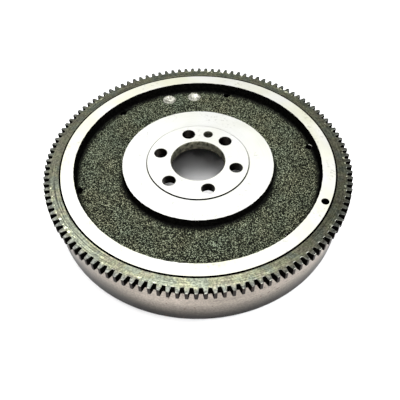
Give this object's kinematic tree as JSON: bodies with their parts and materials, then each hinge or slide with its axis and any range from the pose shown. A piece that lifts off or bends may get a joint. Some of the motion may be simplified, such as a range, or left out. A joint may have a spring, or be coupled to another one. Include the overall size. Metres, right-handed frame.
{
  "type": "flywheel",
  "caption": "Pot-type engine flywheel with a shrunk-on starter ring gear, a raised crankshaft hub with a central bore, and a deep clutch pocket underneath.",
  "frame": {"origin": "centre of the clutch pocket's open lower face, on the spin axis", "axes": "+Z along the spin axis towards the crankshaft, +Y through the crankshaft dowel hole"},
  "size_m": [0.305, 0.305, 0.056],
  "materials": {
    "casting": "turned bright on the rim, hub, friction face and outside, rough grey-green as cast in the recesses",
    "ring_gear": "turned and dulled, with an oily grey-green tint and dark tooth flanks",
    "dowel": "ground"
  },
  "bodies": {
    "root": {"flywheel_casting": "casting", "starter_ring_gear": "ring_gear", "clutch_cover_dowel_1": "dowel", "clutch_cover_dowel_2": "dowel", "clutch_cover_dowel_3": "dowel"}
  },
  "joints": []
}
